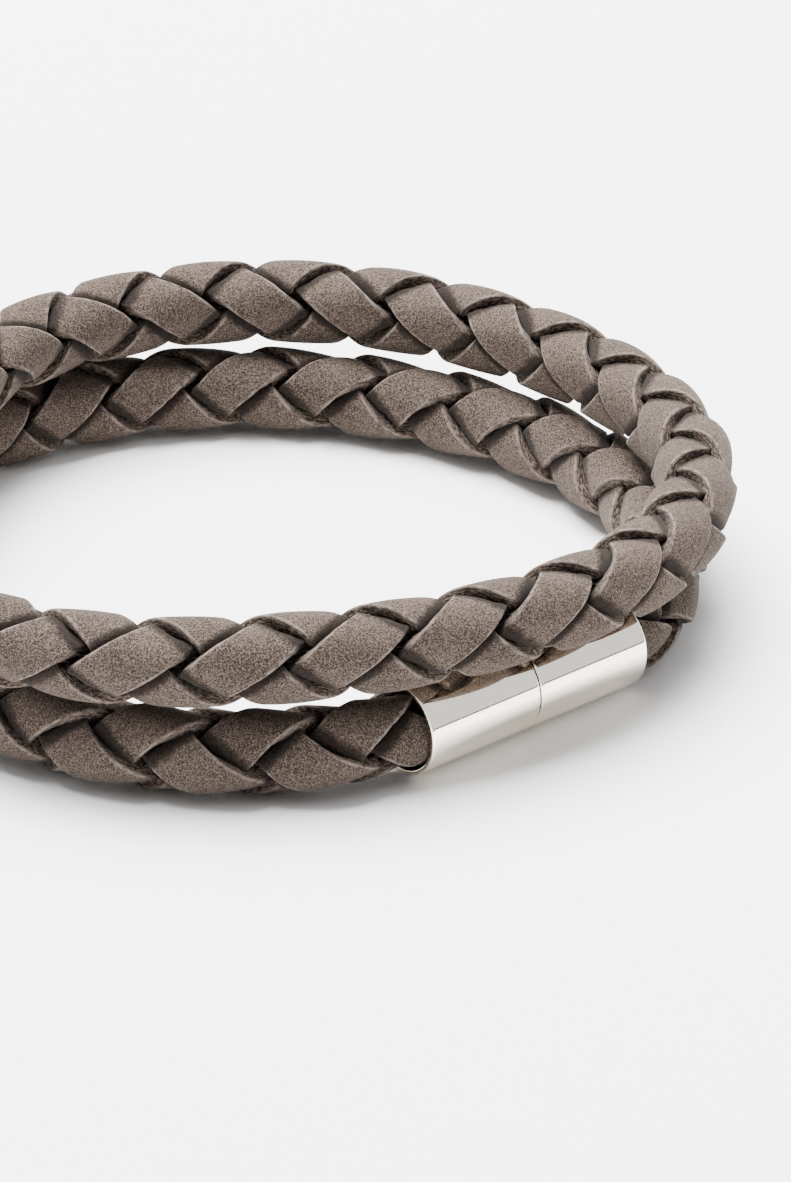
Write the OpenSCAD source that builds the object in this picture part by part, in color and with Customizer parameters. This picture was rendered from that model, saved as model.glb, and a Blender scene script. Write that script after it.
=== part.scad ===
// Double-wrap bracelet: one length of round four-strip suede braid goes twice round the wrist.
// Its two ends go into the bores of a polished cylinder clasp, which lies on the lower turn.
// +Z is up, the bracelet lies on Z = 0, and the clasp is at the front right (-Y, +X).

/* [Braid] */
// Width of one flat suede strip
strip_width = 3.5; // [3.4:0.05:3.5]
// Thickness of one suede strip
strip_thickness = 1.1; // [1:0.02:1.1]
// Width bevelled off each inner edge of a strip
strip_bevel = 0.75; // [0.7:0.05:0.85]
// Diameter of the braid over the strips that lie on top
braid_diameter = 6.24; // [6.2:0.02:6.3]
// Length of braid in which a strip goes once round it
braid_pitch = 14.64; // [14.5:0.02:15.5]

/* [Clasp] */
// Outer diameter of the clasp
clasp_diameter = 7; // [6.9:0.1:7.2]
// Length of the two cups together
clasp_length = 20.5; // [20:0.5:21]
// Wall of a cup round its bore
clasp_wall = 0.35; // [0.3:0.05:0.4]
// How far the braid goes into each cup
braid_entry = 5; // [4:0.5:5.5]
// Depth of a cup's bore beyond the end of the braid
bore_spare = 1.6; // [1.6:0.1:1.8]
// Bevel on the outer edges of a cup
rim_bevel = 0.15; // [0.1:0.05:0.2]
// Width of the seam between the cups
seam_gap = 0.12; // [0.1:0.02:0.2]
// Diameter of the magnet between the cups
magnet_diameter = 4.8; // [4:0.1:5]
// Length of the magnet
magnet_length = 3.6; // [2.5:0.1:3.8]

/* [Layout] */
// Distance from the middle of the lower turn to the clasp's middle line
clasp_distance = 27; // [26.8:0.1:27.5]
// Direction of the clasp's middle from there, in degrees from +X
clasp_direction = -48.3; // [-49:0.1:-48]

/* [Hidden] */

$fn = 96;
SUEDE = [0.50, 0.44, 0.40];
STEEL = [0.84, 0.83, 0.81];
MAGNET = [0.45, 0.45, 0.47];

// Clearance round the magnet in its two sockets.
magnet_gap = 0.05;
bore_diameter = clasp_diameter - 2 * clasp_wall;
cup_length = (clasp_length - seam_gap) / 2;

// The middle line of each turn as a closed curve round the lower turn's middle, in mm.
// Columns: radius, shift along X and Y, oval and oval turned 45 degrees,
// three-cornered and three-cornered turned 30 degrees (shares of the radius),
// height, tilt along X and Y, saddle and saddle turned 45 degrees.
LOWER_TURN = [29.35, 0, 0, -0.008, -0.006, 0.016, 0.009, 3.23, 0, 0, 0, 0];
UPPER_TURN = [30.5, 0.93, 0.57, -0.006, 0.027, 0.019, -0.021, 9.6, 0.08, -0.36, -0.15, -0.17];

// At the left the turns change places side by side between these two directions,
// each moving this far to its own side.
exchange_from = 120;
exchange_to = 238;
exchange_side = 3.2;

// The arc beside the clasp over which the braid bends from the clasp's line to the turn.
clasp_lead = 20;
// The whole bracelet is moved so that its box is centred on X = 0 and Y = 0.
centring = [0.064, -0.907, 0];

// Roll of the braid about its own middle line. Columns: distance along the braid, degrees.
ROLL = [[0, 80], [60, 49], [158.5, -27], [250, -66], [353, -72], [380, -72]];
// Distance along the braid at which the first pair of strips lies on top.
crossing_at = 158.5;
// The braid is pressed to this share of its size in the clasp, and relaxes over this length.
end_pinch = 0.92;
pinch_length = 7;

// A strip's middle line in the braid's two cross axes. It is over_reach from the braid's middle
// at its top. From there it goes round by over_rate for each degree of its phase and falls by
// over_fall to over_end degrees, while its face turns by over_facing for each degree.
over_reach = (braid_diameter - strip_thickness) / 2;
over_end = 60;
over_rate = 0.024;
over_fall = 0.934;
over_facing = 0.67;
// Below its neighbours it goes straight across at this distance from the middle.
under_reach = 0.61;
// It dives when it is this far from its top, over twice dive_half degrees.
dive_at = 65;
dive_half = 5.3;
// A line across the strip is slanted, parallel to the edge of the strip that covers it. These
// shares of the strip's width go round the braid and back along it on each side, on top and
// below, and the first grows by over_spread to over_end degrees.
over_round = 0.331;
over_spread = 0.039;
over_slant = 0.429;
under_round = 0.16;
under_slant = 0.381;
// How far a strip's long edges curl in below its middle.
over_crown = 0.14;

// Columns: quarter turn at which the strip starts, 1 where it winds the other way.
STRIPS = [[0, 0], [180, 0], [0, 1], [180, 1]];
// Where the rings stand in each half turn, in degrees from the strip's top.
RING_AT = [-76, -53, -20, 20, 53, 76];
// A strip's ends are slanted as its rings are, and its other rings stay this far from them.
end_slant = over_slant * strip_width;
ring_margin = 0.3;

// Angles from the clasp's middle to its ends and to the ends of the braid inside it.
cup_angle = atan2(clasp_length / 2, clasp_distance);
entry_angle = atan2(clasp_length / 2 - braid_entry, clasp_distance);
route_from = clasp_direction + entry_angle;
route_to = clasp_direction + 720 - entry_angle;
route_steps = 480;

function mix(a, b, share) = a + (b - a) * share;
function ease(x) = let (k = min(max(x, 0), 1)) k * k * (3 - 2 * k);
function unit(v) = v / norm(v);

function turn_radius(turn, a) =
    turn[0] * (1 + turn[3] * cos(2 * a) + turn[4] * sin(2 * a) + turn[5] * cos(3 * a) + turn[6] * sin(3 * a))
    + turn[1] * cos(a) + turn[2] * sin(a);
function turn_height(turn, a) =
    turn[7] + turn[8] * cos(a) + turn[9] * sin(a) + turn[10] * cos(2 * a) + turn[11] * sin(2 * a);

// Half turn of the exchange, from 0 before it to 180 after it.
function exchange(a) = 180 * ease((a - exchange_from) / (exchange_to - exchange_from));

// Radius and height of the middle line at an angle counted through both turns, away from the clasp.
function free_line(a) =
    let (rise = exchange(a), fall = exchange(a - 360))
    [mix(turn_radius(LOWER_TURN, a), turn_radius(UPPER_TURN, a), (rise - fall) / 180)
        + exchange_side * (sin(rise) - sin(fall)),
     mix(turn_height(LOWER_TURN, a), turn_height(UPPER_TURN, a), (cos(fall) - cos(rise)) / 2)];

// Radius of the clasp's straight middle line at an angle from its middle.
function clasp_radius(a) = clasp_distance / cos(a);

// Cubic that leaves p0 with slope m0 and reaches p1 with slope m1 as x goes from 0 to 1.
function cubic(x, p0, m0, p1, m1) =
    (1 + 2 * x) * pow(1 - x, 2) * p0 + x * pow(1 - x, 2) * m0
    + x * x * (3 - 2 * x) * p1 + x * x * (x - 1) * m1;

// The bend between the clasp and the turn. side is 1 past the clasp and -1 before it.
function bend_line(middle, side, off) =
    let (x = (off - cup_angle) / clasp_lead,
         meet = middle + side * (cup_angle + clasp_lead),
         line = free_line(meet),
         slope = (free_line(meet + side)[0] - free_line(meet - side)[0]) / 2,
         slope_out = clasp_radius(cup_angle) * tan(cup_angle) * PI / 180)
    [cubic(x, clasp_radius(cup_angle), slope_out * clasp_lead, line[0], slope * clasp_lead),
     mix(clasp_diameter / 2, line[1], ease(x))];

// Radius and height of the middle line at an angle counted through both turns.
function route_line(a) =
    let (side = a < 360 + clasp_direction ? 1 : -1,
         middle = side > 0 ? clasp_direction : clasp_direction + 720,
         off = (a - middle) * side)
    off < cup_angle ? [clasp_radius(off), clasp_diameter / 2]
    : off < cup_angle + clasp_lead ? bend_line(middle, side, off)
    : free_line(a);

function route_point(a) = let (line = route_line(a)) [line[0] * cos(a), line[0] * sin(a), line[1]] + centring;

// Distance along the braid for each step of the angle, and its whole length.
step_angle = (route_to - route_from) / route_steps;
STEP_POINTS = [for (i = [0:route_steps]) route_point(route_from + i * step_angle)];
DISTANCES = [for (i = 0, run = 0; i <= route_steps;
                  run = run + (i < route_steps ? norm(STEP_POINTS[i + 1] - STEP_POINTS[i]) : 0), i = i + 1)
                 [run, route_from + i * step_angle]];
braid_length = DISTANCES[route_steps][0];

// Middle point, direction and two cross axes of the braid at a distance along it.
function braid_frame(run) =
    let (a = lookup(run, DISTANCES),
         along = unit(route_point(a + 0.5) - route_point(a - 0.5)),
         outward = unit(cross(along, [0, 0, 1])),
         upward = cross(outward, along),
         roll = lookup(run, ROLL))
    [route_point(a), along,
     cos(roll) * upward + sin(roll) * outward,
     cos(roll) * outward - sin(roll) * upward];

// Share of its full size that the braid has at a distance along it.
function fullness(run) =
    let (inside = min(run, braid_length - run) - braid_entry)
    mix(end_pinch, 1, ease(inside / pinch_length));

// Phase of a strip at a distance along the braid, 0 and 180 where it lies on top.
function strip_phase(strip, run) = strip[0] + 360 * (run - crossing_at) / braid_pitch - 90 * strip[1];

// Place on a strip's middle surface as two distances across the braid and one back along it.
// side goes from -1 to 1 across the strip.
function on_top(half_turn, off, side) =
    let (way = pow(off / over_end, 2), facing = over_facing * off,
         out = [cos(facing), sin(facing)], round_it = [-sin(facing), cos(facing)],
         middle = [over_reach - over_fall * way, over_rate * off])
    (half_turn % 2 == 0 ? 1 : -1)
        * (middle + (over_round + over_spread * way) * strip_width * side * round_it
           - over_crown * side * side * out);
function below(half_turn, off, side) =
    let (rate = (over_reach - over_fall * pow(dive_at / over_end, 2)) / (90 - dive_at))
    (half_turn % 2 == 0 ? 1 : -1) * [-rate * off - under_round * strip_width * side, under_reach];
function strip_place(phase, side) =
    let (top = round(phase / 180), hidden = floor(phase / 180),
         off = phase - 180 * top,
         dive = ease((abs(off) - dive_at + dive_half) / (2 * dive_half)),
         place = mix(on_top(top, off, side), below(hidden, phase - 90 - 180 * hidden, side), dive))
    [place[0], place[1], mix(over_slant, under_slant, dive) * strip_width * side];

// A point of a strip's middle surface. A strip that winds the other way has its axes swapped.
function strip_middle(strip, run, side) =
    let (place = strip_place(strip_phase(strip, run), side),
         at = run - place[2], frame = braid_frame(at), size = fullness(at),
         x = strip[1] > 0 ? place[1] : place[0],
         y = strip[1] > 0 ? place[0] : place[1])
    frame[0] + size * (x * frame[2] + y * frame[3]);

// A point of a strip this far above its middle surface.
function strip_point(strip, run, side, above) =
    let (along = strip_middle(strip, run + 0.02, side) - strip_middle(strip, run - 0.02, side),
         over = strip_middle(strip, run, side + 0.01) - strip_middle(strip, run, side - 0.01),
         out = unit(cross(along, over)) * (strip[1] > 0 ? 1 : -1))
    strip_middle(strip, run, side) + above * fullness(run) * out;

// One ring of six corners round a strip: three across its outer face, three across its inner one.
function strip_ring(strip, run) =
    let (high = strip_thickness / 2, inner = 1 - 2 * strip_bevel / strip_width)
    [strip_point(strip, run, -1, high),
     strip_point(strip, run, 0, high),
     strip_point(strip, run, 1, high),
     strip_point(strip, run, inner, -high),
     strip_point(strip, run, 0, -high),
     strip_point(strip, run, -inner, -high)];

// Distances along the braid of the middles of a strip's rings.
function ring_runs(strip) =
    let (first = floor(strip_phase(strip, 0) / 180), half_pitch = braid_pitch / 2,
         count = ceil(braid_length / half_pitch) + 1)
    concat([end_slant],
           [for (half_turn = [0:count], at = RING_AT)
                let (run = ((first + half_turn) * 180 + at - strip_phase(strip, 0)) * braid_pitch / 360)
                if (run > end_slant + ring_margin && run < braid_length - end_slant - ring_margin) run],
           [braid_length - end_slant]);

module suede_strand(index) {
    strip = STRIPS[index];
    corners = 6;
    runs = ring_runs(strip);
    last = len(runs) - 1;
    points = [for (run = runs) each strip_ring(strip, run)];
    // Each four-cornered patch is cut along the diagonal that runs the same way as the strip's lay.
    sides = [for (i = [0:last - 1], j = [0:corners - 1])
                let (a = i * corners + j, b = i * corners + (j + 1) % corners,
                     c = b + corners, d = a + corners)
                each [[a, d, b], [b, d, c]]];
    near_cap = [for (j = [1:corners - 2]) [0, j, j + 1]];
    far_cap = [for (j = [1:corners - 2]) [last * corners, last * corners + j + 1, last * corners + j]];
    faces = concat(near_cap, sides, far_cap);
    // The rings of a strip that winds the other way run round it the other way.
    color(SUEDE)
        polyhedron(points = points,
                   faces = strip[1] > 0 ? [for (face = faces) [face[0], face[2], face[1]]] : faces);
}

// Puts a shape drawn along +Z on the clasp's middle line, with Z = 0 at the clasp's middle
// and +Z pointing along the braid's end that comes in from the left.
module on_clasp_line() {
    translate(centring) rotate([0, 0, clasp_direction])
        translate([clasp_distance, 0, clasp_diameter / 2]) rotate([90, 0, 0]) children();
}

// One steel cup with its seam face at Z = seam_gap / 2 and its open end away from it.
module cup() {
    r = clasp_diameter / 2;
    bore_depth = braid_entry + bore_spare;
    translate([0, 0, seam_gap / 2]) difference() {
        rotate_extrude()
            polygon([[0, 0], [r - rim_bevel, 0], [r, rim_bevel], [r, cup_length - rim_bevel],
                     [r - rim_bevel, cup_length], [0, cup_length]]);
        translate([0, 0, cup_length - bore_depth]) cylinder(d = bore_diameter, h = bore_depth + 1);
        translate([0, 0, -1])
            cylinder(d = magnet_diameter + 2 * magnet_gap, h = 1 + (magnet_length - seam_gap) / 2 + magnet_gap);
    }
}

module clasp_left() {
    color(STEEL) on_clasp_line() cup();
}

module clasp_right() {
    color(STEEL) on_clasp_line() mirror([0, 0, 1]) cup();
}

module clasp_magnet() {
    color(MAGNET) on_clasp_line() cylinder(d = magnet_diameter, h = magnet_length, center = true);
}

suede_strand(0);  // suede_strand_1
suede_strand(1);  // suede_strand_2
suede_strand(2);  // suede_strand_3
suede_strand(3);  // suede_strand_4
clasp_left();
clasp_right();
clasp_magnet();
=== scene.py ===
"""Looks of a double-wrap bracelet: round four-strip suede braid with a polished cylinder clasp.

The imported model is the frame. The four suede strips are worked out again as fine surfaces
along the braid's own route, and the clasp's two cups are turned again as fine surfaces of
revolution. Sizes of the bracelet are in millimetres, as on a drawing, and the meshes are in
metres.
"""

import logging
from dataclasses import dataclass, field
from enum import Enum

import bpy
import numpy as np
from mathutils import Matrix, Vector


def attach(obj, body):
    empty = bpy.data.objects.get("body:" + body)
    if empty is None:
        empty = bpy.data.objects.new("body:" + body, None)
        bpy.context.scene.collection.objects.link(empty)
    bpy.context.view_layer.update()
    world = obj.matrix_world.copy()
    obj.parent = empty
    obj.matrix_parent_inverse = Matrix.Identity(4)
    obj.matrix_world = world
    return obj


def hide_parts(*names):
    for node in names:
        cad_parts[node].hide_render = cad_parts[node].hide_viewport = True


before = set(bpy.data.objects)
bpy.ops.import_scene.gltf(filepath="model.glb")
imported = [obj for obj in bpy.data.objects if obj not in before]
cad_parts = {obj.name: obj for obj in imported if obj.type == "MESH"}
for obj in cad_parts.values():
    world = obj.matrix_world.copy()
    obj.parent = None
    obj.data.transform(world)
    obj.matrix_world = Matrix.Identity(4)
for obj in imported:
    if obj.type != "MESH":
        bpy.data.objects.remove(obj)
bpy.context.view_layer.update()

log = logging.getLogger("bracelet")

MM = 0.001
BODY = "root"
UP = np.array([0.0, 0.0, 1.0])
# Sideways move that puts the middle of the bracelet's box on X = 0 and Y = 0, in mm.
CENTRING = np.array([0.064, -0.907, 0.0])
# Edges of a turned piece that bend by more than this stay sharp, in degrees.
SHARP_ANGLE = 35.0
# Corner numbers of a sheet that is a single face.
ONE_FACE = np.array([[0, 1, 2, 3]])

Colour = tuple[float, float, float, float]
Triple = tuple[float, float, float]
Limits = tuple[float, float]
Socket = bpy.types.NodeSocket


class Slot(Enum):
    """Names of two material slots, suede and polished steel; nothing in this script reads them."""

    SUEDE = "suede"
    STEEL = "polished_steel"


class Lay(Enum):
    """The two ways that a strip winds round the braid."""

    FORWARD = 0
    BACKWARD = 1


def mix(low: np.ndarray, high: np.ndarray, share: np.ndarray) -> np.ndarray:
    """Goes from low to high in a straight line as share goes from 0 to 1."""
    return low + (high - low) * share


def ease(share: np.ndarray) -> np.ndarray:
    """Smooth step: 3x^2 - 2x^3, flat before 0 and after 1."""
    held = np.clip(share, 0.0, 1.0)
    return held * held * (3.0 - 2.0 * held)


def cosd(degrees: np.ndarray) -> np.ndarray:
    """Cosine of an angle in degrees."""
    return np.cos(np.radians(degrees))


def sind(degrees: np.ndarray) -> np.ndarray:
    """Sine of an angle in degrees."""
    return np.sin(np.radians(degrees))


def unit(vectors: np.ndarray) -> np.ndarray:
    """Each vector divided by its own length."""
    return vectors / np.linalg.norm(vectors, axis=-1, keepdims=True)


def drift(rng: np.random.Generator, runs: np.ndarray, spacing: float, columns: int) -> np.ndarray:
    """Smooth random lines along the braid, one for each column.

    Random knots of size about 1 stand every `spacing` mm, and a value between two knots
    is their smooth-step mix.

    Args:
        rng: Seeded source of the knots.
        runs: Distances along the braid, in mm.
        spacing: Distance between knots, in mm.
        columns: How many lines are made.

    Returns:
        Array of len(runs) rows and `columns` columns.
    """
    place = (runs - runs[0]) / spacing
    cell = np.floor(place).astype(int)
    knots = rng.standard_normal((cell[-1] + 2, columns))
    return mix(knots[cell], knots[cell + 1], ease(place - cell)[:, None])


@dataclass(frozen=True)
class Turn:
    """Middle line of one turn, a closed curve round the lower turn's middle, in mm.

    Oval and lobe are shares of the radius. A name with `turned` belongs to the sine of its
    harmonic, and the same name without it to the cosine.
    """

    radius: float
    height: float
    shift_x: float = 0.0
    shift_y: float = 0.0
    oval: float = 0.0
    oval_turned: float = 0.0
    lobe: float = 0.0
    lobe_turned: float = 0.0
    tilt_x: float = 0.0
    tilt_y: float = 0.0
    wave: float = 0.0
    wave_turned: float = 0.0

    def radius_at(self, angle: np.ndarray) -> np.ndarray:
        """Radius of the curve: a circle with second and third harmonics, moved sideways."""
        shape = 1.0 + self.oval * cosd(2 * angle) + self.oval_turned * sind(2 * angle)
        shape = shape + self.lobe * cosd(3 * angle) + self.lobe_turned * sind(3 * angle)
        return self.radius * shape + self.shift_x * cosd(angle) + self.shift_y * sind(angle)

    def height_at(self, angle: np.ndarray) -> np.ndarray:
        """Height of the curve: level, with a tilt and a saddle."""
        tilt = self.tilt_x * cosd(angle) + self.tilt_y * sind(angle)
        return self.height + tilt + self.wave * cosd(2 * angle) + self.wave_turned * sind(2 * angle)


@dataclass(frozen=True)
class ClaspPlace:
    """Where the clasp lies and how large it is, in mm and degrees.

    Its middle is at `distance` from the lower turn's middle, in the given direction, and its
    axis crosses that direction at a right angle.
    """

    diameter: float = 7.0
    length: float = 20.5
    wall: float = 0.35
    braid_entry: float = 5.0
    bore_spare: float = 1.6
    seam_gap: float = 0.12
    magnet_diameter: float = 4.8
    magnet_length: float = 3.6
    magnet_gap: float = 0.05
    distance: float = 27.0
    direction: float = -48.3

    @property
    def end_angle(self) -> float:
        """Angle from the clasp's middle to its end."""
        return float(np.degrees(np.arctan2(self.length / 2, self.distance)))

    @property
    def entry_angle(self) -> float:
        """Angle from the clasp's middle to the end of the braid inside it."""
        return float(np.degrees(np.arctan2(self.length / 2 - self.braid_entry, self.distance)))


LOWER_TURN = Turn(
    radius=29.35, height=3.23, oval=-0.008, oval_turned=-0.006, lobe=0.016, lobe_turned=0.009
)
UPPER_TURN = Turn(
    radius=30.5,
    height=9.6,
    shift_x=0.93,
    shift_y=0.57,
    oval=-0.006,
    oval_turned=0.027,
    lobe=0.019,
    lobe_turned=-0.021,
    tilt_x=0.08,
    tilt_y=-0.36,
    wave=-0.15,
    wave_turned=-0.17,
)


@dataclass(frozen=True)
class BraidRoute:
    """The braid's middle line: twice round, with an exchange of the turns at the left.

    Lengths are in mm and angles in degrees. The two roll tables turn the braid about its
    own line: distances along it, and the roll at each of them.
    """

    clasp: ClaspPlace = ClaspPlace()
    lower: Turn = LOWER_TURN
    upper: Turn = UPPER_TURN
    exchange_from: float = 120.0
    exchange_to: float = 238.0
    exchange_side: float = 3.2
    clasp_lead: float = 20.0
    steps: int = 480
    tangent_step: float = 0.5
    roll_runs: tuple[float, ...] = (0, 60, 158.5, 250, 353, 380)
    roll_degrees: tuple[float, ...] = (80, 49, -27, -66, -72, -72)

    def exchange(self, angle: np.ndarray) -> np.ndarray:
        """Half turn of the exchange, from 0 degrees before it to 180 after it."""
        return 180.0 * ease((angle - self.exchange_from) / (self.exchange_to - self.exchange_from))

    def free_line(self, angle: np.ndarray) -> tuple[np.ndarray, np.ndarray]:
        """Radius and height away from the clasp, at an angle counted through both turns.

        The radius goes from the lower turn's to the upper turn's and back, and swings to
        the outside as it rises and to the inside as it comes down.
        """
        rise = self.exchange(angle)
        fall = self.exchange(angle - 360.0)
        up = (rise - fall) / 180.0
        radius = mix(self.lower.radius_at(angle), self.upper.radius_at(angle), up)
        radius = radius + self.exchange_side * (sind(rise) - sind(fall))
        share = (cosd(fall) - cosd(rise)) / 2.0
        return radius, mix(self.lower.height_at(angle), self.upper.height_at(angle), share)

    def line(self, angle: np.ndarray) -> tuple[np.ndarray, np.ndarray]:
        """Radius and height of the whole line: straight in the clasp, a cubic bend beside it.

        The cubic meets the clasp's end and the free line with their own slopes.

        Args:
            angle: Angles in degrees, counted through both turns.

        Returns:
            Radii and heights, in mm.
        """
        clasp, lead, end = self.clasp, self.clasp_lead, self.clasp.end_angle
        radius, height = self.free_line(angle)
        edge = clasp.distance / cosd(end)
        slope_out = edge * np.tan(np.radians(end)) * np.pi / 180.0
        for middle, side in ((clasp.direction, 1.0), (clasp.direction + 720.0, -1.0)):
            off = (angle - middle) * side
            x = np.clip((off - end) / lead, 0.0, 1.0)
            meet = middle + side * (end + lead)
            meet_radius, meet_height = self.free_line(meet)
            slope = (self.free_line(meet + side)[0] - self.free_line(meet - side)[0]) / 2.0
            bend = (1 + 2 * x) * (1 - x) ** 2 * edge + x * (1 - x) ** 2 * slope_out * lead
            bend = bend + x * x * (3 - 2 * x) * meet_radius + x * x * (x - 1) * slope * lead
            straight = clasp.distance / cosd(np.clip(off, -end, end))
            near = off < end + lead
            radius = np.where(near, np.where(off < end, straight, bend), radius)
            climb = mix(clasp.diameter / 2, meet_height, ease(x))
            height = np.where(near, climb, height)
        return radius, height

    def point(self, angle: np.ndarray) -> np.ndarray:
        """Points of the middle line at the given angles, in mm."""
        radius, height = self.line(angle)
        return np.stack([radius * cosd(angle), radius * sind(angle), height], axis=-1) + CENTRING

    def stations(self) -> tuple[np.ndarray, np.ndarray]:
        """Distances along the line, and their angles, at even steps of the angle."""
        first = self.clasp.direction + self.clasp.entry_angle
        last = self.clasp.direction + 720.0 - self.clasp.entry_angle
        angles = np.linspace(first, last, self.steps + 1)
        pieces = np.linalg.norm(np.diff(self.point(angles), axis=0), axis=1)
        return np.concatenate([[0.0], np.cumsum(pieces)]), angles

    def axes(self, runs: np.ndarray) -> tuple[np.ndarray, np.ndarray, np.ndarray]:
        """Middle points and the braid's two rolled cross axes at distances along the line.

        Args:
            runs: Distances along the braid, in mm, in any shape.

        Returns:
            Points, first cross axes and second cross axes, each an array of vectors.
        """
        distances, angles = self.stations()
        angle = np.interp(runs, distances, angles)
        step = self.tangent_step
        along = unit(self.point(angle + step) - self.point(angle - step))
        outward = unit(np.cross(along, UP))
        upward = np.cross(outward, along)
        roll = np.interp(runs, self.roll_runs, self.roll_degrees)[..., None]
        first = cosd(roll) * upward + sind(roll) * outward
        second = cosd(roll) * outward - sind(roll) * upward
        return self.point(angle), first, second


@dataclass(frozen=True)
class StripSection:
    """Cross-section of one suede strip, in mm: crowned face, round edges, cut sides, deep back.

    The back lies deeper than the suede's own thickness by `depth`, out of sight, so that no
    light comes through the middle of the braid.
    """

    width: float = 3.34
    thickness: float = 1.1
    depth: float = 0.62
    bevel: float = 0.30
    crown: float = 0.13
    corner: float = 0.20
    face_columns: int = 15
    corner_columns: int = 4
    side_columns: int = 3
    back_columns: int = 5

    def outline(self) -> tuple[np.ndarray, np.ndarray]:
        """The closed outline, from the foot of the first side over the face and round the back.

        The face and the back are parabolas, the corners are arcs and the sides are
        straight lines that slope in towards the back.

        Returns:
            Places across and above the strip's middle, in mm.
        """
        half, low = self.width / 2, self.thickness / 2
        reach = half - self.corner
        face = np.linspace(-1.0, 1.0, self.face_columns) * reach
        face_height = low - self.crown * (face / half) ** 2
        slope = np.degrees(np.arctan(2 * self.crown * reach / half**2))
        lean = np.degrees(np.arctan(self.bevel / (self.thickness + self.depth)))
        turn = np.linspace(90.0 - slope, -lean, self.corner_columns + 1)
        corner_x = (reach + self.corner * (cosd(turn) - cosd(turn[0])))[1:]
        corner_y = (face_height[-1] + self.corner * (sind(turn) - sind(turn[0])))[1:]
        foot = (half - self.bevel, -low - self.crown - self.depth)
        side = np.linspace(0.0, 1.0, self.side_columns + 1)[1:]
        side_x = mix(corner_x[-1], foot[0], side)
        side_y = mix(corner_y[-1], foot[1], side)
        back = np.linspace(1.0, -1.0, self.back_columns + 2)[1:-1]
        back_x = back * foot[0]
        back_y = foot[1] + self.crown * (1.0 - back**2)
        right_x = np.concatenate([corner_x, side_x])
        right_y = np.concatenate([corner_y, side_y])
        across = np.concatenate([-right_x[::-1], face, right_x, back_x])
        above = np.concatenate([right_y[::-1], face_height, right_y, back_y])
        return across, above

    def girth(self) -> np.ndarray:
        """Distance round the outline of each column from the middle of the face, in mm.

        It is below 0 on one side of the face and above 0 on the other. One more column than
        the outline has closes it on the back.
        """
        across, above = self.outline()
        steps = np.hypot(np.diff(across, append=across[0]), np.diff(above, append=above[0]))
        along = np.concatenate([[0.0], np.cumsum(steps)])
        middle = int(np.argmin(np.where(above > 0, np.abs(across), np.inf)))
        return along - along[middle]


@dataclass(frozen=True)
class Unevenness:
    """How a strip's cut edges and face wander along it. Sizes and spacings are in mm.

    The rim is the outer share of half the width that wanders and is rough. The face swells.
    """

    rim: float = 0.2
    slow: float = 0.022
    slow_spacing: float = 1.3
    fast: float = 0.012
    fast_spacing: float = 0.35
    edge_limits: Limits = (-0.06, 0.02)
    rough: float = 0.010
    rough_spacing: float = 0.3
    rough_limits: Limits = (-2.0, 1.0)
    swell: float = 0.012
    swell_spacing: float = 2.2
    swell_limits: Limits = (-0.03, 0.02)
    swell_above: float = -0.2


@dataclass(frozen=True)
class Strip:
    """Where a strip starts round the braid, in degrees, and which way it winds."""

    start: float
    lay: Lay


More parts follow.
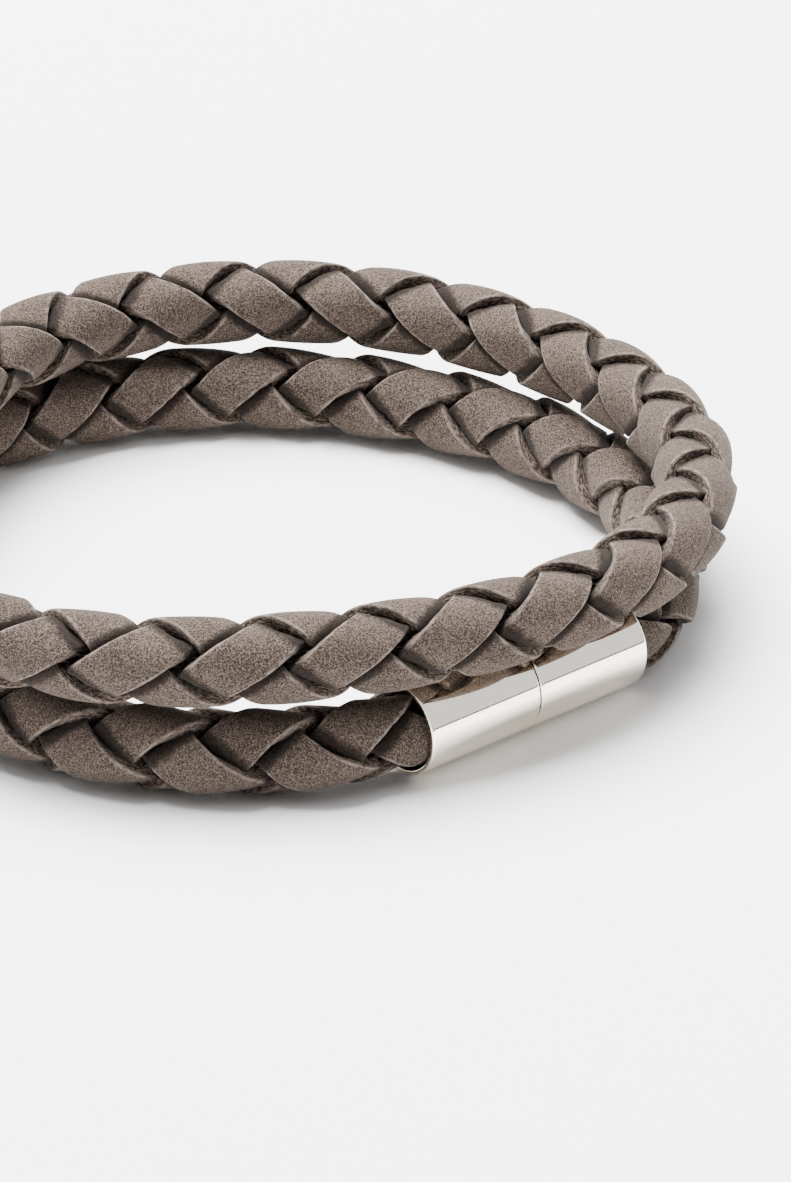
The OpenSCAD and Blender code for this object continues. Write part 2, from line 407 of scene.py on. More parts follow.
@dataclass
class SuedeBraid:
    """Four suede strips that pass over and under each other round a common middle line.

    A line across a strip is slanted, parallel to the edge of the strip that covers it, so the
    strip dives along its whole end at once and each part that shows is a parallelogram that
    hugs the round braid.

    Names with `over` are of the part on top, with `under` of the hidden part, and with `dive`
    of the change between them. Ends and dives are phases of the strip in degrees, rounds and
    slants are shares of its width, rate and facing are per degree, and the rest is in mm.
    """

    route: BraidRoute = field(default_factory=BraidRoute)
    section: StripSection = field(default_factory=StripSection)
    wear: Unevenness = field(default_factory=Unevenness)
    pitch: float = 14.64
    crossing_at: float = 158.5
    end_pinch: float = 0.92
    pinch_length: float = 7.0
    over_reach: float = 2.64
    over_end: float = 60.0
    over_rate: float = 0.024
    over_fall: float = 1.2
    over_facing: float = 0.67
    over_round: float = 0.36
    over_slant: float = 0.429
    over_crown: float = 0.14
    under_reach: float = 0.61
    under_round: float = 0.20
    under_slant: float = 0.50
    dive_at: float = 65.0
    dive_half: float = 5.3
    ring_step: float = 0.14
    surface_step: float = 0.02
    first_seed: int = 40
    strips: tuple[Strip, ...] = (
        Strip(0.0, Lay.FORWARD),
        Strip(180.0, Lay.FORWARD),
        Strip(0.0, Lay.BACKWARD),
        Strip(180.0, Lay.BACKWARD),
    )

    def fullness(self, runs: np.ndarray, length: float) -> np.ndarray:
        """Share of its full size that the braid has, less in the clasp."""
        inside = np.minimum(runs, length - runs) - self.route.clasp.braid_entry
        return mix(self.end_pinch, 1.0, ease(inside / self.pinch_length))

    def phase(self, strip: Strip, runs: np.ndarray) -> np.ndarray:
        """Phase of a strip, a multiple of 180 degrees where it lies on top."""
        wound = 360.0 * (runs - self.crossing_at) / self.pitch
        return strip.start + wound - 90.0 * strip.lay.value

    def place(
        self, phase: np.ndarray, side: np.ndarray
    ) -> tuple[np.ndarray, np.ndarray, np.ndarray]:
        """Place on a strip's middle surface, in the braid's own cross axes.

        On top the strip's middle goes straight round the braid and falls as a parabola, while
        its face turns evenly. Below its neighbours it goes straight across. Between the two
        it dives, along a line parallel to the edge of the strip that covers it.

        Args:
            phase: Phases of the strip, in degrees.
            side: Places across the strip, from -1 to 1.

        Returns:
            Two distances across the braid and one back along it, in mm.
        """
        width = self.section.width
        half_turn, hidden = np.round(phase / 180.0), np.floor(phase / 180.0)
        off, off_hidden = phase - 180.0 * half_turn, phase - 180.0 * hidden - 90.0
        sign, sign_hidden = cosd(180.0 * half_turn), cosd(180.0 * hidden)
        way, facing = (off / self.over_end) ** 2, self.over_facing * off
        spread = self.over_round * width * side
        curl = self.over_crown * side**2
        top_first = self.over_reach - self.over_fall * way
        top_first = top_first - spread * sind(facing) - curl * cosd(facing)
        top_second = self.over_rate * off + spread * cosd(facing) - curl * sind(facing)
        edge = self.over_reach - self.over_fall * (self.dive_at / self.over_end) ** 2
        below_first = -edge / (90.0 - self.dive_at) * off_hidden - self.under_round * width * side
        dive = ease((np.abs(off) - self.dive_at + self.dive_half) / (2.0 * self.dive_half))
        first = mix(sign * top_first, sign_hidden * below_first, dive)
        second = mix(sign * top_second, sign_hidden * self.under_reach, dive)
        return first, second, mix(self.over_slant, self.under_slant, dive) * width * side

    def surface(
        self, strip: Strip, runs: np.ndarray, across: np.ndarray, length: float
    ) -> np.ndarray:
        """Points of a strip's middle surface.

        Args:
            strip: The strip.
            runs: Distances along the braid of the middle of each line across, in mm.
            across: Places on those lines from the strip's middle, in mm, in the same shape.
            length: Length of the braid, in mm.

        Returns:
            Points in mm.
        """
        side = across / (self.section.width / 2)
        first, second, back = self.place(self.phase(strip, runs), side)
        at = np.clip(runs - back, 0.0, length)
        points, first_axis, second_axis = self.route.axes(at)
        if strip.lay is Lay.BACKWARD:
            first_axis, second_axis = second_axis, first_axis
        reach = self.fullness(at, length)[..., None]
        return points + reach * (first[..., None] * first_axis + second[..., None] * second_axis)

    def strip_points(self, index: int) -> tuple[np.ndarray, np.ndarray, np.ndarray]:
        """Points of one strip: its outline stood on its middle surface, none below the ground.

        Args:
            index: Which strip, from 0.

        Returns:
            Points in mm as rings by columns by 3, the distance of each ring along the strip in
            mm, and how far each ring is tucked in: 0 in the middle of a part on top, 1 in the
            middle of a hidden part.
        """
        strip = self.strips[index]
        distances, _ = self.route.stations()
        length = float(distances[-1])
        first = self.over_slant * self.section.width
        last = length - first
        runs = np.linspace(first, last, int(round((last - first) / self.ring_step)) + 1)
        rng = np.random.default_rng(self.first_seed + index)
        across, above = self.worn_outline(rng, runs)
        rows = np.broadcast_to(runs[:, None], across.shape)
        step = self.surface_step
        middle = self.surface(strip, rows, across, length)
        ahead = self.surface(strip, rows + step, across, length)
        behind = self.surface(strip, rows - step, across, length)
        right = self.surface(strip, rows, across + step, length)
        left = self.surface(strip, rows, across - step, length)
        outwards = 1.0 if strip.lay is Lay.BACKWARD else -1.0
        out = unit(np.cross(ahead - behind, right - left)) * outwards
        points = middle + above[..., None] * self.fullness(rows, length)[..., None] * out
        points[..., 2] = np.maximum(points[..., 2], 0.0)
        centre = middle[:, middle.shape[1] // 2]
        steps = np.linalg.norm(np.diff(centre, axis=0), axis=1)
        half_turns = self.phase(strip, runs) / 180.0
        tuck = 2.0 * np.abs(half_turns - np.round(half_turns))
        return points, np.concatenate([[0.0], np.cumsum(steps)]), tuck

    def worn_outline(
        self, rng: np.random.Generator, runs: np.ndarray
    ) -> tuple[np.ndarray, np.ndarray]:
        """The outline with cut edges that wander a little and a face that isn't quite even.

        Args:
            rng: Seeded source of the unevenness.
            runs: Distances along the braid, in mm.

        Returns:
            Places across and above the strip's middle for every ring, as rings by columns.
        """
        wear = self.wear
        across, above = self.section.outline()
        half = self.section.width / 2
        rim = ease((np.abs(across) - (1.0 - wear.rim) * half) / (wear.rim * half))
        wander = wear.slow * drift(rng, runs, wear.slow_spacing, 2)
        wander = wander + wear.fast * drift(rng, runs, wear.fast_spacing, 2)
        wander = np.clip(wander, *wear.edge_limits)
        by_side = np.where(across[None, :] < 0, wander[:, :1], wander[:, 1:])
        rough = drift(rng, runs, wear.rough_spacing, across.size)
        rough = wear.rough * np.clip(rough, *wear.rough_limits)
        out = rim * (by_side + rough)
        swell = wear.swell * drift(rng, runs, wear.swell_spacing, 3)
        places = np.clip(across / half, -1, 1)
        bump = mix(swell[:, :1], swell[:, 2:], (places[None, :] + 1) / 2)
        bump = bump + swell[:, 1:2] * (1 - places**2)
        bump = np.where(above > wear.swell_above, np.clip(bump, *wear.swell_limits), 0.0)
        return across[None, :] + np.sign(across) * out, above[None, :] + bump

    def build(self, finish: "SuedeFinish") -> list[bpy.types.Object]:
        """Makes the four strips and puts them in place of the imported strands.

        Args:
            finish: The suede's finish.

        Returns:
            The four pieces.
        """
        material = finish.material()
        girth = self.section.girth()
        pieces = []
        for index in range(len(self.strips)):
            points, lengths, tuck = self.strip_points(index)
            piece = tube_object(f"suede_strip_{index + 1}", points * MM, lengths, girth, tuck)
            dress(piece, material, f"suede_strand_{index + 1}")
            pieces.append(piece)
        return pieces


@dataclass
class CylinderClasp:
    """Two polished cups that meet at a seam, and the magnet that holds them, in mm."""

    place: ClaspPlace = field(default_factory=ClaspPlace)
    edge: float = 0.15
    lip: float = 0.06
    segments: int = 192
    arc_points: int = 6
    waist_points: int = 8

    def arc(
        self, centre: tuple[float, float], radius: float, start: float, end: float
    ) -> np.ndarray:
        """Points of an arc in the profile's plane, in mm.

        Args:
            centre: Its centre as radius and height.
            radius: Its own radius.
            start: Angle of its first point, in degrees from the radial direction.
            end: Angle of its last point.

        Returns:
            Points as rows of radius and height.
        """
        angle = np.linspace(start, end, self.arc_points)
        return np.array(centre) + radius * np.stack([cosd(angle), sind(angle)], axis=1)

    def profile(self) -> np.ndarray:
        """Half outline of a cup, from the magnet socket's floor round to the bore's floor.

        Every edge that shows is an arc. Heights are measured from the clasp's middle.

        Returns:
            Points as rows of radius and height, in mm.
        """
        place, edge, lip = self.place, self.edge, self.lip
        outer = place.diameter / 2
        bore = outer - place.wall
        seam, end = place.seam_gap / 2, place.length / 2
        socket = place.magnet_diameter / 2 + place.magnet_gap
        socket_floor = place.magnet_length / 2 + place.magnet_gap
        bore_floor = end - place.braid_entry - place.bore_spare
        start = np.array([[0.0, socket_floor], [socket, socket_floor], [socket, seam]])
        seam_edge = self.arc((outer - edge, seam + edge), edge, -90.0, 0.0)
        heights = np.linspace(seam + 2 * edge, end - 2 * edge, self.waist_points)
        waist = np.stack([np.full(heights.size, outer), heights], axis=1)
        rim = self.arc((outer - edge, end - edge), edge, 0.0, 90.0)
        inside = self.arc((bore + lip, end - lip), lip, 90.0, 180.0)
        floor = np.array([[bore, bore_floor], [0.0, bore_floor]])
        return np.concatenate([start, seam_edge, waist, rim, inside, floor])

    def build(self, steel: "SteelFinish", nickel: "NickelFinish") -> list[bpy.types.Object]:
        """Turns both cups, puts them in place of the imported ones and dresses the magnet.

        Args:
            steel: Finish of the cups.
            nickel: Finish of the magnet.

        Returns:
            The two cups.
        """
        place = self.place
        outward = np.array([cosd(place.direction), sind(place.direction), 0.0])
        leftward = -np.cross(UP, outward)
        middle = (CENTRING + place.distance * outward + place.diameter / 2 * UP) * MM
        profile = self.profile() * MM
        material = steel.material()
        cups = []
        for name, axis in (("left", leftward), ("right", -leftward)):
            cup = lathe_object(f"clasp_cup_{name}", profile, middle, axis, outward, self.segments)
            dress(cup, material, f"clasp_{name}")
            cups.append(cup)
        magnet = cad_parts["clasp_magnet"]
        magnet.data.materials.clear()
        magnet.data.materials.append(nickel.material())
        log.info("%s keeps its packed shape", magnet.name)
        return cups


def mesh_object(
    name: str, points: np.ndarray, quads: np.ndarray, tris: np.ndarray
) -> bpy.types.Object:
    """Makes a smooth mesh object from arrays, with its faces turned outwards.

    The faces are turned round where the volume inside them comes out below 0.

    Args:
        name: Name of the object and its mesh.
        points: Places of the vertices, in metres.
        quads: Four vertex numbers for each four-cornered face.
        tris: Three vertex numbers for each triangle.

    Returns:
        The object, linked to the scene.
    """
    halves = np.concatenate([quads[:, [0, 1, 2]], quads[:, [0, 2, 3]], tris])
    a, b, c = points[halves[:, 0]], points[halves[:, 1]], points[halves[:, 2]]
    volume = np.einsum("ij,ij->i", a, np.cross(b, c)).sum()
    if volume < 0:
        quads, tris = quads[:, ::-1], tris[:, ::-1]
    mesh = bpy.data.meshes.new(name)
    corners = np.concatenate([quads.ravel(), tris.ravel()]).astype(np.int32)
    sizes = np.concatenate([np.full(len(quads), 4), np.full(len(tris), 3)])
    starts = np.concatenate([[0], np.cumsum(sizes)[:-1]]).astype(np.int32)
    mesh.vertices.add(len(points))
    mesh.vertices.foreach_set("co", points.astype(np.float32).ravel())
    mesh.loops.add(len(corners))
    mesh.loops.foreach_set("vertex_index", corners)
    mesh.polygons.add(len(starts))
    mesh.polygons.foreach_set("loop_start", starts)
    mesh.update(calc_edges=True)
    mesh.polygons.foreach_set("use_smooth", np.ones(len(starts), dtype=bool))
    mesh.validate()
    made = bpy.data.objects.new(name, mesh)
    bpy.context.scene.collection.objects.link(made)
    return made


def tube_faces(rings: int, columns: int) -> tuple[np.ndarray, np.ndarray]:
    """Faces of a tube of rings, closed by a fan round a pole at each end.

    Vertex j of ring i has the number i * columns + j, and the two poles come last.

    Args:
        rings: How many rings the tube has.
        columns: How many vertices each ring has.

    Returns:
        Vertex numbers of the four-cornered faces, and those of the fans' triangles.
    """
    around = np.arange(columns)
    after = (around + 1) % columns
    ring = np.arange(rings - 1)[:, None] * columns
    near, beside = (ring + around).ravel(), (ring + after).ravel()
    quads = np.stack([near, beside, beside + columns, near + columns], axis=1)
    last = (rings - 1) * columns
    pole = np.full(columns, rings * columns)
    first_fan = np.stack([pole, after, around], axis=1)
    last_fan = np.stack([pole + 1, last + around, last + after], axis=1)
    return quads, np.concatenate([first_fan, last_fan])


def tube_object(
    name: str, rings: np.ndarray, lengths: np.ndarray, girth: np.ndarray, tuck: np.ndarray
) -> bpy.types.Object:
    """A closed section carried along a line, with its two ends closed by fans.

    The UV map called strip holds the distance along the strip and the distance round it
    from the middle of its face, both in mm.

    Args:
        name: Name of the piece.
        rings: Points as rings by columns by 3, in metres.
        lengths: Distance along the strip of each ring, in mm.
        girth: Distance round the section of each column and of the closing one, in mm.
        tuck: Value of the attribute called tuck on each ring.

    Returns:
        The object.
    """
    count, columns = rings.shape[:2]
    points = np.concatenate([rings.reshape(-1, 3), rings[[0, -1]].mean(axis=1)])
    made = mesh_object(name, points, *tube_faces(count, columns))
    write_strip_uv(made.data, lengths, girth)
    layer = made.data.attributes.new("tuck", "FLOAT", "POINT")
    tucks = np.concatenate([np.repeat(tuck, columns), tuck[[0, -1]]])
    layer.data.foreach_set("value", tucks.astype(np.float32))
    return made


def write_strip_uv(mesh: bpy.types.Mesh, lengths: np.ndarray, girth: np.ndarray) -> None:
    """Writes the strip map: each face corner's distance along and round the strip, in mm.

    A face that crosses from the last column to the first takes the closing distance there.

    Args:
        mesh: Mesh of the strip, with the four-cornered faces first, ring by ring.
        lengths: Distance along the strip of each ring, in mm.
        girth: Distance round the section of each column and of the closing one, in mm.
    """
    count, columns = len(lengths), len(girth) - 1
    corners = np.empty(len(mesh.loops), dtype=np.int32)
    mesh.loops.foreach_get("vertex_index", corners)
    owner = np.minimum(corners // columns, count - 1)
    column = corners % columns
    face_column = np.repeat(np.tile(np.arange(columns), count - 1), 4)
    total = face_column.size
    closing = np.zeros(len(corners), dtype=bool)
    closing[:total] = (face_column == columns - 1) & (column[:total] == 0)
    layer = mesh.uv_layers.new(name="strip")
    values = np.stack([lengths[owner], np.where(closing, girth[-1], girth[column])], axis=1)
    layer.data.foreach_set("uv", values.astype(np.float32).ravel())


def lathe_object(
    name: str,
    profile: np.ndarray,
    origin: np.ndarray,
    axis: np.ndarray,
    start: np.ndarray,
    segments: int,
) -> bpy.types.Object:
    """A profile turned about an axis, closed by a fan at each end that lies on the axis.

    Args:
        name: Name of the piece.
        profile: Rows of radius and height along the axis, in metres, from axis to axis.
        origin: Point of the axis where the height is 0.
        axis: Direction of the axis.
        start: Direction from the axis in which the turning starts.
        segments: Faces round the axis.

    Returns:
        The object.
    """
    angle = np.linspace(0.0, 360.0, segments, endpoint=False)
    radial = cosd(angle)[:, None] * start + sind(angle)[:, None] * np.cross(axis, start)
    body = profile[1:-1]
    rings = origin + body[:, 1, None, None] * axis + body[:, 0, None, None] * radial[None]
    poles = origin + profile[[0, -1], 1, None] * axis
    points = np.concatenate([rings.reshape(-1, 3), poles])
    made = mesh_object(name, points, *tube_faces(len(body), segments))
    made.data.set_sharp_from_angle(angle=np.radians(SHARP_ANGLE))
    return made


def dress(piece: bpy.types.Object, material: bpy.types.Material, node: str) -> None:
    """Gives a piece its material and slot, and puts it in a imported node's place.

    Args:
        piece: The new piece.
        material: Its finish.
        node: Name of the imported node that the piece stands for.
    """
    piece.data.materials.append(material)
    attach(piece, BODY)
    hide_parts(node)
    log.info("%s stands for %s, with %d faces", piece.name, node, len(piece.data.polygons))


@dataclass(frozen=True)
class Mottle:
    """One layer of noise: its lumps in each unit of length, and how fine and rough they are."""

    scale: float
    detail: float
    roughness: float


class Shader:
    """A small writer of node materials."""

    def __init__(self, name: str) -> None:
        """Starts a material with an empty node tree and its output."""
        self.material = bpy.data.materials.new(name)
        self.material.use_nodes = True
        self.tree = self.material.node_tree
        self.tree.nodes.clear()
        self.output = self.tree.nodes.new("ShaderNodeOutputMaterial")

    def node(self, kind: str, inputs: dict | None = None, **settings: object) -> bpy.types.Node:
        """Adds a node.

        Args:
            kind: Blender's name for the node's type.
            inputs: Socket name or number to a value, or to an output socket to link.
            settings: Properties of the node.

        Returns:
            The new node.
        """
        made = self.tree.nodes.new(kind)
        for key, value in settings.items():
            setattr(made, key, value)
        for key, value in (inputs or {}).items():
            self.feed(made.inputs[key], value)
        return made

    def feed(self, socket: Socket, value: object) -> None:
        """Links an output to a socket, or sets the socket's own value."""
        if isinstance(value, Socket):
            self.tree.links.new(value, socket)
        else:
            socket.default_value = value

    def math(self, operation: str, *values: object) -> Socket:
        """Adds a Math node and gives back its output."""
        return self.node("ShaderNodeMath", dict(enumerate(values)), operation=operation).outputs[0]

    def noise(self, vector: Socket, mottle: Mottle) -> Socket:
        """Adds a 3-D noise and gives back its value."""
        names = ("Vector", "Scale", "Detail", "Roughness")
        inputs = dict(zip(names, (vector, mottle.scale, mottle.detail, mottle.roughness)))
        return self.node("ShaderNodeTexNoise", inputs, noise_dimensions="3D").outputs[0]

    def span(self, value: Socket, given: Limits, wanted: Limits = (0.0, 1.0)) -> Socket:
        """Smoothly maps a value from the given limits to the wanted ones, held outside them."""
        names = ("Value", "From Min", "From Max", "To Min", "To Max")
        inputs = dict(zip(names, (value, *given, *wanted)))
        return self.node("ShaderNodeMapRange", inputs, interpolation_type="SMOOTHSTEP").outputs[0]

    def blend(self, share: Socket, first: object, second: object) -> Socket:
        """Mixes two colours by a share and gives back the colour."""
        made = self.node("ShaderNodeMix", data_type="RGBA", blend_type="MIX")
        colour_inputs = [socket for socket in made.inputs if socket.type == "RGBA"]
        self.feed(made.inputs[0], share)
        self.feed(colour_inputs[0], first)
        self.feed(colour_inputs[1], second)
        return next(socket for socket in made.outputs if socket.type == "RGBA")

    def bump(self, height: Socket, strength: float, distance: float) -> Socket:
        """Turns a height into a normal. The distance is what a height of 1 is, in metres."""
        inputs = {"Strength": strength, "Distance": distance, "Height": height}
        return self.node("ShaderNodeBump", inputs).outputs[0]

    def finish(self, inputs: dict) -> bpy.types.Material:
        """Adds the Principled shader with the given inputs and gives back the material."""
        principled = self.node("ShaderNodeBsdfPrincipled", inputs)
        self.tree.links.new(principled.outputs[0], self.output.inputs["Surface"])
        return self.material


@dataclass(frozen=True)
class SuedeFinish:
    """Grey-brown suede: mottled nap, paler cut edges, dark raw sides and painted shade in the
    creases.

    A gain says how much a noise adds, and limits are the values between which an effect comes
    in. Those of line, band and side are in mm past the face's half width: the line is the pale
    thread along a cut edge, the band the loose fibres beside it and the side the raw cut.
    """

    name: str = "taupe_suede"
    light_grain: Colour = (0.126, 0.096, 0.078, 1.0)
    dark_grain: Colour = (0.021, 0.015, 0.012, 1.0)
    edge_fibre: Colour = (0.158, 0.128, 0.110, 1.0)
    raw_side: Colour = (0.021, 0.015, 0.012, 1.0)
    raw_fibre: Colour = (0.148, 0.114, 0.095, 1.0)
    # Painted shade: the near-black colour that the creases take where a strip goes under its
    # neighbours.
    crease_shade: Colour = (0.006, 0.004, 0.0035, 1.0)
    sheen_tint: Colour = (0.95, 0.86, 0.78, 1.0)
    grain: Mottle = Mottle(8600.0, 2.0, 0.7)
    nap: Mottle = Mottle(1500.0, 3.0, 0.55)
    cloud: Mottle = Mottle(260.0, 2.0, 0.5)
    fibre: Mottle = Mottle(1.0, 3.0, 0.65)
    fibre_stretch: Triple = (2.4, 7.0, 1.0)
    grain_gain: float = 4.6
    nap_gain: float = 0.3
    cloud_gain: float = 0.35
    tone_offset: float = -2.06
    tone_limits: Limits = (0.05, 1.30)
    face_half_width: float = 1.48
    ragged_gain: float = 0.40
    line_in_limits: Limits = (0.18, 0.27)
    line_out_limits: Limits = (0.34, 0.44)
    line_nap_limits: Limits = (0.38, 0.56)
    line_strength: Limits = (0.15, 0.95)
    band_limits: Limits = (-0.30, 0.15)
    fleck_nap_gain: float = 0.6
    fleck_limits: Limits = (0.80, 0.98)
    fleck_strength: float = 0.42
    side_limits: Limits = (0.36, 0.52)
    raw_limits: Limits = (0.42, 0.64)
    # Painted crease shade: the tuck, nap and side set where the colour darkens towards the crease
    # shade.
    tuck_nap_gain: float = 0.14
    tuck_side_gain: float = -0.06
    tuck_shade_limits: Limits = (0.61, 0.72)
    tuck_shade_strength: float = 0.85
    bump_strength: float = 0.6
    bump_distance: float = 0.00006
    roughness: float = 0.95
    specular: float = 0.10
    sheen: float = 0.06
    sheen_roughness: float = 0.45

    def face(self, shader: Shader, place: Socket, grain: Socket, nap: Socket) -> Socket:
        """Colour of the face: the sum of three sizes of mottle goes from dark to light grain."""
        cloud = shader.noise(place, self.cloud)
        tone = shader.math("MULTIPLY_ADD", grain, self.grain_gain, self.tone_offset)
        tone = shader.math("MULTIPLY_ADD", nap, self.nap_gain, tone)
        tone = shader.math("MULTIPLY_ADD", cloud, self.cloud_gain, tone)
        return shader.blend(shader.span(tone, self.tone_limits), self.dark_grain, self.light_grain)

    def past_face(
        self, shader: Shader, ragged: Socket, limits: Limits, wanted: Limits = (0.0, 1.0)
    ) -> Socket:
        """Smoothly maps a distance round the strip between limits past the face's half width."""
        half = self.face_half_width
        return shader.span(ragged, (half + limits[0], half + limits[1]), wanted)

    def line(self, shader: Shader, ragged: Socket, nap: Socket) -> Socket:
        """Share of the pale thread along a cut edge, which the nap breaks up."""
        inner = self.past_face(shader, ragged, self.line_in_limits)
        outer = self.past_face(shader, ragged, self.line_out_limits, (1.0, 0.0))
        broken = shader.span(nap, self.line_nap_limits, self.line_strength)
        return shader.math("MULTIPLY", shader.math("MULTIPLY", inner, outer), broken)

    def band(self, shader: Shader, ragged: Socket, grain: Socket, nap: Socket) -> Socket:
        """Share of the loose fibres beside a cut edge, in flecks of grain and nap."""
        near = self.past_face(shader, ragged, self.band_limits)
        sum_of_both = shader.math("ADD", grain, shader.math("MULTIPLY", nap, self.fleck_nap_gain))
        flecks = shader.span(sum_of_both, self.fleck_limits)
        return shader.math("MULTIPLY", shader.math("MULTIPLY", near, flecks), self.fleck_strength)

    def material(self) -> bpy.types.Material:
        """Builds the node tree.

        The face reads Object coordinates. The edges go by the strip map: the distance round
        the strip, made ragged by a noise that is stretched along it. The painted crease shade
        goes by the attribute called tuck, where a strip goes down between its neighbours.

        Returns:
            The material.
        """
        shader = Shader(self.name)
        place = shader.node("ShaderNodeTexCoord").outputs["Object"]
        strip = shader.node("ShaderNodeUVMap", uv_map="strip").outputs["UV"]
        tuck = shader.node("ShaderNodeAttribute", attribute_name="tuck").outputs["Fac"]
        grain = shader.noise(place, self.grain)
        nap = shader.noise(place, self.nap)
        stretched = shader.node("ShaderNodeMapping", {"Vector": strip, "Scale": self.fibre_stretch})
        fibre = shader.noise(stretched.outputs[0], self.fibre)
        off = shader.math("ABSOLUTE", shader.node("ShaderNodeSeparateXYZ", {0: strip}).outputs["Y"])
        ragged = shader.math("MULTIPLY_ADD", fibre, self.ragged_gain, off)
        line = self.line(shader, ragged, nap)
        band = self.band(shader, ragged, grain, nap)
        side = self.past_face(shader, ragged, self.side_limits)
        face = self.face(shader, place, grain, nap)
        rimmed = shader.blend(shader.math("MAXIMUM", line, band), face, self.edge_fibre)
        raw = shader.blend(shader.span(fibre, self.raw_limits), self.raw_side, self.raw_fibre)
        cut = shader.blend(side, rimmed, raw)
        # Painted shade: the colour darkens towards the crease shade where a strip goes down between
        # its neighbours.
        crease_shade_depth = shader.math("MULTIPLY_ADD", side, self.tuck_side_gain, tuck)
        crease_shade_depth = shader.math("MULTIPLY_ADD", nap, self.tuck_nap_gain, crease_shade_depth)
        shade = shader.span(crease_shade_depth, self.tuck_shade_limits, (0.0, self.tuck_shade_strength))
        fibrous = shader.math("MULTIPLY", fibre, shader.math("MAXIMUM", side, band))
        height = shader.math("ADD", grain, fibrous)
        return shader.finish(
            {
                "Base Color": shader.blend(shade, cut, self.crease_shade),
                "Roughness": self.roughness,
                "Specular IOR Level": self.specular,
                "Sheen Weight": self.sheen,
                "Sheen Roughness": self.sheen_roughness,
                "Sheen Tint": self.sheen_tint,
                "Normal": shader.bump(height, self.bump_strength, self.bump_distance),
            }
        )


@dataclass(frozen=True)
class SteelFinish:
    """Polished steel with a faint haze and fine handling scratches."""

    name: str = "polished_steel"
    colour: Colour = (0.955, 0.895, 0.785, 1.0)
    roughness: float = 0.03
    haze: Mottle = Mottle(260.0, 3.0, 0.6)
    haze_gain: float = 0.03
    scratch: Mottle = Mottle(1.0, 2.0, 0.5)
    scratch_turn: Triple = (0.5, 0.7, 0.6)
    scratch_stretch: Triple = (5200.0, 160.0, 300.0)
    scratch_limits: Limits = (0.66, 0.74)
    scratch_gain: float = 0.10
    bump_strength: float = 0.08
    bump_distance: float = 0.00001

    def material(self) -> bpy.types.Material:
        """Builds the node tree: a mirror metal whose roughness and height carry scratches."""
        shader = Shader(self.name)
        place = shader.node("ShaderNodeTexCoord").outputs["Object"]
        haze = shader.noise(place, self.haze)
        turned = {"Vector": place, "Rotation": self.scratch_turn, "Scale": self.scratch_stretch}
        stretched = shader.node("ShaderNodeMapping", turned).outputs[0]
        scratch = shader.span(shader.noise(stretched, self.scratch), self.scratch_limits)
        rough = shader.math("MULTIPLY_ADD", scratch, self.scratch_gain, self.roughness)
        rough = shader.math("MULTIPLY_ADD", haze, self.haze_gain, rough)
        return shader.finish(
            {
                "Base Color": self.colour,
                "Metallic": 1.0,
                "Roughness": rough,
                "Normal": shader.bump(scratch, self.bump_strength, self.bump_distance),
            }
        )


@dataclass(frozen=True)
class NickelFinish:
    """Plain nickel plate of the magnet inside the clasp."""

    name: str = "nickel_plate"
    colour: Colour = (0.62, 0.60, 0.56, 1.0)
    mottle: Mottle = Mottle(3000.0, 3.0, 0.6)
    mottle_limits: Limits = (0.3, 0.7)
    roughness_limits: Limits = (0.22, 0.38)

    def material(self) -> bpy.types.Material:
        """Builds the node tree: a satin metal with a fine mottle."""
        shader = Shader(self.name)
        place = shader.node("ShaderNodeTexCoord").outputs["Object"]
        mottle = shader.noise(place, self.mottle)
        rough = shader.span(mottle, self.mottle_limits, self.roughness_limits)
        return shader.finish({"Base Color": self.colour, "Metallic": 1.0, "Roughness": rough})


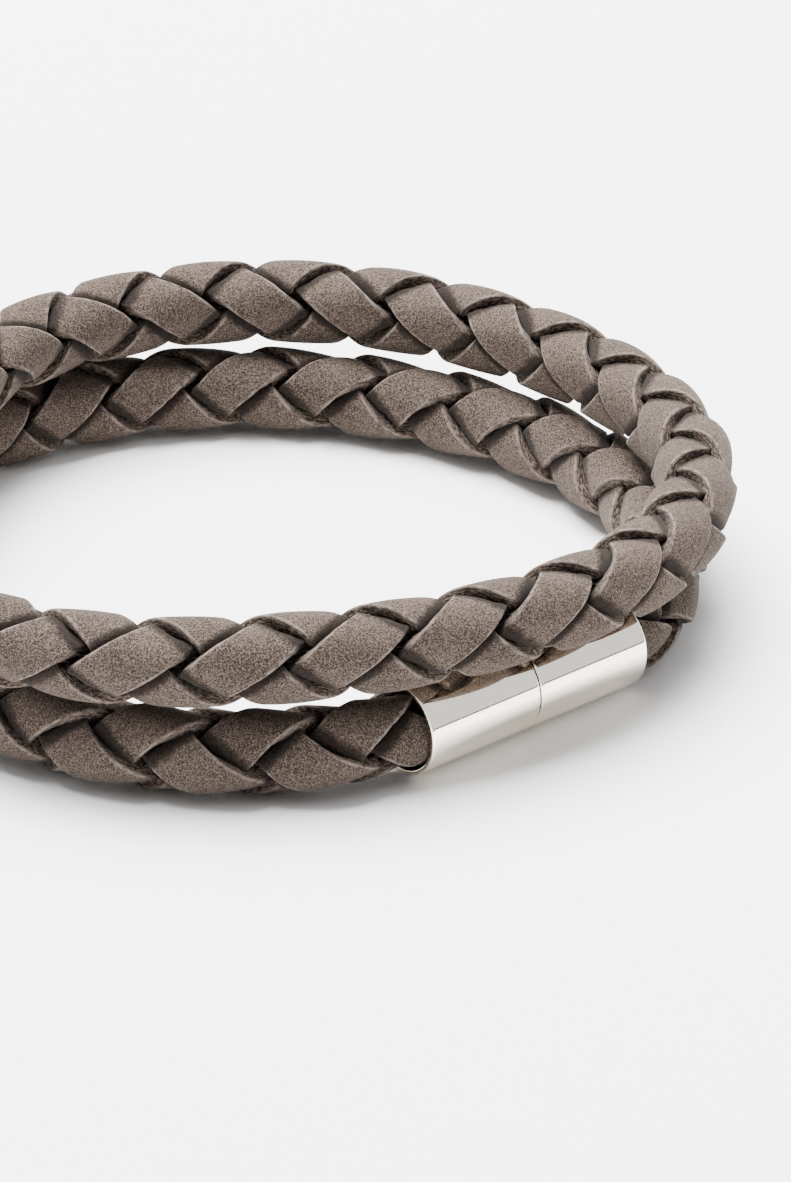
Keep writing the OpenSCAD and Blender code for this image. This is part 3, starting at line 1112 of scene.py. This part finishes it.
@dataclass
class Studio:
    """Pale floor, soft light, two black cards and the camera.

    The camera's target and distance are in mm, and the other lengths in metres.
    """

    target: Triple = (10.04, 0.2, 0.0)
    distance: float = 527.5
    elevation: float = 26.87
    focal_pixels: float = 7171.0
    picture_height: float = 1182.0
    sensor: float = 36.0
    clip: Limits = (0.01, 20.0)
    tent_strength: float = 1.2
    tent_colour: Colour = (1.0, 1.0, 1.0, 1.0)
    light_place: Triple = (-0.22, 0.40, 1.18)
    light_size: float = 1.10
    light_watts: float = 124.0
    floor_half: float = 0.9
    floor_colour: Colour = (0.93, 0.93, 0.93, 1.0)
    floor_roughness: float = 0.9
    card_colour: Colour = (0.01, 0.01, 0.01, 1.0)
    card_roughness: float = 1.0
    ring_radius: float = 0.88
    ring_height: float = 0.035
    ring_panels: int = 64
    flag_half: float = 0.7
    flag_distance: float = 0.62
    flag_foot: float = 0.1
    flag_top: float = 1.1

    def camera(self) -> None:
        """Places the camera at the photograph's angle and frame."""
        data = bpy.data.cameras.new("camera")
        data.sensor_width = self.sensor
        data.sensor_fit = "AUTO"
        data.lens = self.focal_pixels / self.picture_height * self.sensor
        data.clip_start, data.clip_end = self.clip
        camera = bpy.data.objects.new("camera", data)
        back = np.array([0.0, -cosd(self.elevation), sind(self.elevation)])
        camera.location = Vector((np.array(self.target) + self.distance * back) * MM)
        camera.rotation_euler = (np.radians(90.0 - self.elevation), 0.0, 0.0)
        bpy.context.scene.collection.objects.link(camera)
        bpy.context.scene.camera = camera

    def sheet(
        self, name: str, points: np.ndarray, quads: np.ndarray, colour: Colour, roughness: float
    ) -> bpy.types.Object:
        """Makes a thin matt piece of the studio, which isn't part of the bracelet.

        Args:
            name: Name of the piece and of its finish.
            points: Its corners, in metres.
            quads: Four corner numbers for each of its faces.
            colour: Its colour.
            roughness: Its roughness.

        Returns:
            The piece.
        """
        surface = {"Base Color": colour, "Roughness": roughness, "Specular IOR Level": 0.0}
        mesh = bpy.data.meshes.new(name)
        mesh.from_pydata(points.tolist(), [], quads.tolist())
        mesh.materials.append(Shader(name).finish(surface))
        made = bpy.data.objects.new(name, mesh)
        bpy.context.scene.collection.objects.link(made)
        return made

    def floor(self) -> None:
        """Lays a plain pale sheet under the bracelet."""
        half = self.floor_half
        corners = np.array([[-half, -half, 0], [half, -half, 0], [half, half, 0], [-half, half, 0]])
        self.sheet("floor", corners, ONE_FACE, self.floor_colour, self.floor_roughness)

    def cards(self) -> None:
        """Stands a low black ring far out and a black flag in front, unseen by the camera.

        The steel shows the ring as a thin dark line. The flag only dims the light in front.
        """
        angle = np.linspace(0.0, 360.0, self.ring_panels, endpoint=False)
        foot = np.stack([cosd(angle), sind(angle), np.zeros(angle.size)], axis=1) * self.ring_radius
        points = np.concatenate([foot, foot + self.ring_height * UP])
        around = np.arange(self.ring_panels)
        after = (around + 1) % self.ring_panels
        upper = self.ring_panels
        quads = np.stack([around, after, after + upper, around + upper], axis=1)
        ring = self.sheet("horizon_card", points, quads, self.card_colour, self.card_roughness)
        half, near, low, top = self.flag_half, -self.flag_distance, self.flag_foot, self.flag_top
        across = np.array([-half, half, half, -half])
        points = np.stack([across, np.full(4, near), [low, low, top, top]], axis=1)
        flag = self.sheet("front_flag", points, ONE_FACE, self.card_colour, self.card_roughness)
        ring.visible_camera = False
        flag.visible_camera = False
        flag.visible_glossy = False

    def lights(self) -> None:
        """Lights the scene: an even tent all round and one large soft light overhead."""
        world = bpy.data.worlds.new("tent")
        world.use_nodes = True
        background = world.node_tree.nodes["Background"]
        background.inputs["Color"].default_value = self.tent_colour
        background.inputs["Strength"].default_value = self.tent_strength
        bpy.context.scene.world = world
        data = bpy.data.lights.new("overhead", "AREA")
        data.shape = "SQUARE"
        data.size = self.light_size
        data.energy = self.light_watts
        light = bpy.data.objects.new("overhead", data)
        light.location = self.light_place
        light.rotation_euler = (-Vector(self.light_place)).to_track_quat("-Z", "Y").to_euler()
        bpy.context.scene.collection.objects.link(light)

    def build(self) -> None:
        """Makes the camera, the floor, the cards and the lights."""
        self.camera()
        self.floor()
        self.cards()
        self.lights()


def main() -> None:
    logging.basicConfig(level=logging.INFO, format="%(name)s: %(message)s")
    Studio().build()
    strips = SuedeBraid().build(SuedeFinish())
    cups = CylinderClasp().build(SteelFinish(), NickelFinish())
    log.info("built %d strips and %d cups", len(strips), len(cups))


if __name__ == "__main__":
    main()
